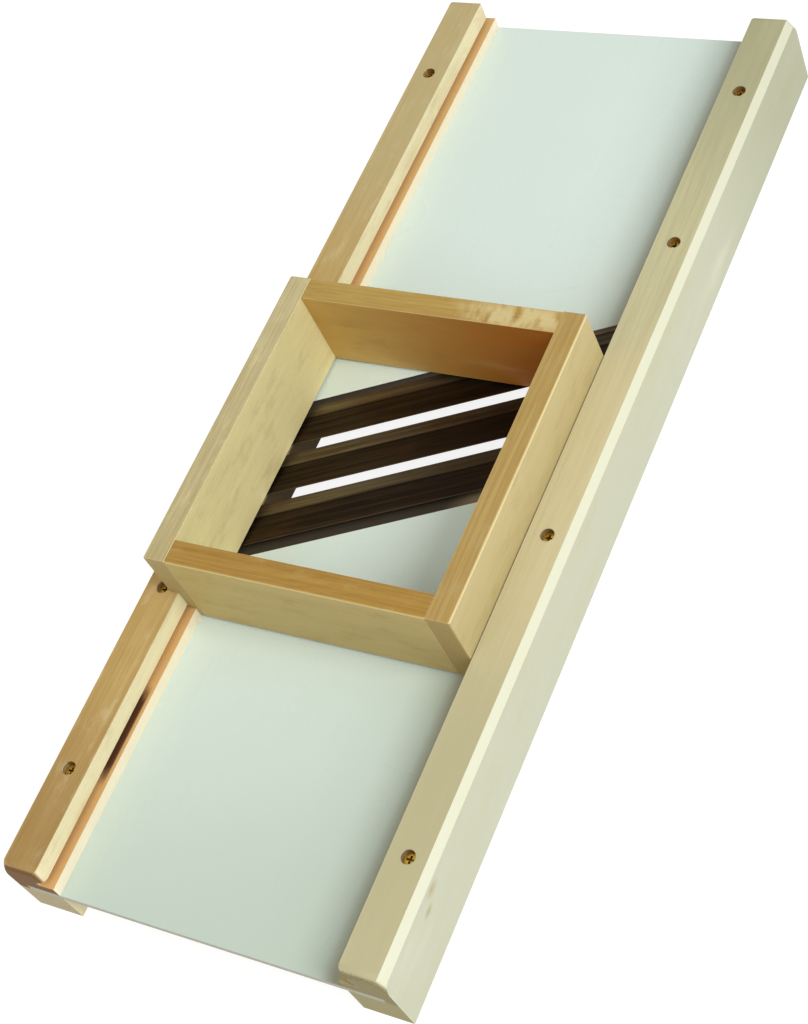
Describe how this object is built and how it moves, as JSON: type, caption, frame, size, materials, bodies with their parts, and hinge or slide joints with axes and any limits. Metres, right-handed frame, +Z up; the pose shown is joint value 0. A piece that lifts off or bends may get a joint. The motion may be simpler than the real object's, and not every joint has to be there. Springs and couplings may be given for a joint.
{
  "type": "mandoline slicer",
  "caption": "Wooden cabbage slicer: two grooved rails hold white plates and oblique steel blades, and a bottomless box slides along the rails to push food over the edges.",
  "frame": {"origin": "bottom centre of the bounding box, on the surface that the rails stand on", "axes": "+X across to the right rail, +Y along the rails to the far end, +Z up; millimetres in the source, metres in the row"},
  "size_m": [0.2246, 0.6, 0.0824],
  "materials": {
    "rail_wood": "planed light beech, unvarnished",
    "box_wood": "planed light beech, unvarnished",
    "packer_wood": "sawn hardwood",
    "plate_laminate": "white laminate on brown hardboard, satin",
    "blade_steel": "ground blade steel with streaks along the blade",
    "screw_brass": "yellow passivated wood screw"
  },
  "bodies": {
    "root": {"left_rail": "rail_wood", "right_rail": "rail_wood", "near_plate": "plate_laminate", "far_plate": "plate_laminate", "upper_blade": "blade_steel", "upper_blade_left_packer": "packer_wood", "upper_blade_right_packer": "packer_wood", "middle_blade": "blade_steel", "middle_blade_left_packer": "packer_wood", "middle_blade_right_packer": "packer_wood", "lower_blade": "blade_steel", "lower_blade_left_packer": "packer_wood", "lower_blade_right_packer": "packer_wood", "left_rail_screw_1": "screw_brass", "left_rail_screw_2": "screw_brass", "left_rail_screw_3": "screw_brass", "left_rail_screw_4": "screw_brass", "right_rail_screw_1": "screw_brass", "right_rail_screw_2": "screw_brass", "right_rail_screw_3": "screw_brass", "right_rail_screw_4": "screw_brass"},
    "box": {"box_left_wall": "box_wood", "box_right_wall": "box_wood", "box_near_wall": "box_wood", "box_far_wall": "box_wood"}
  },
  "joints": [
    {"name": "box_slide", "type": "slide", "parent": "root", "child": "box", "axis": [0, 1, 0], "range_m": [-0.165, 0.245]}
  ]
}
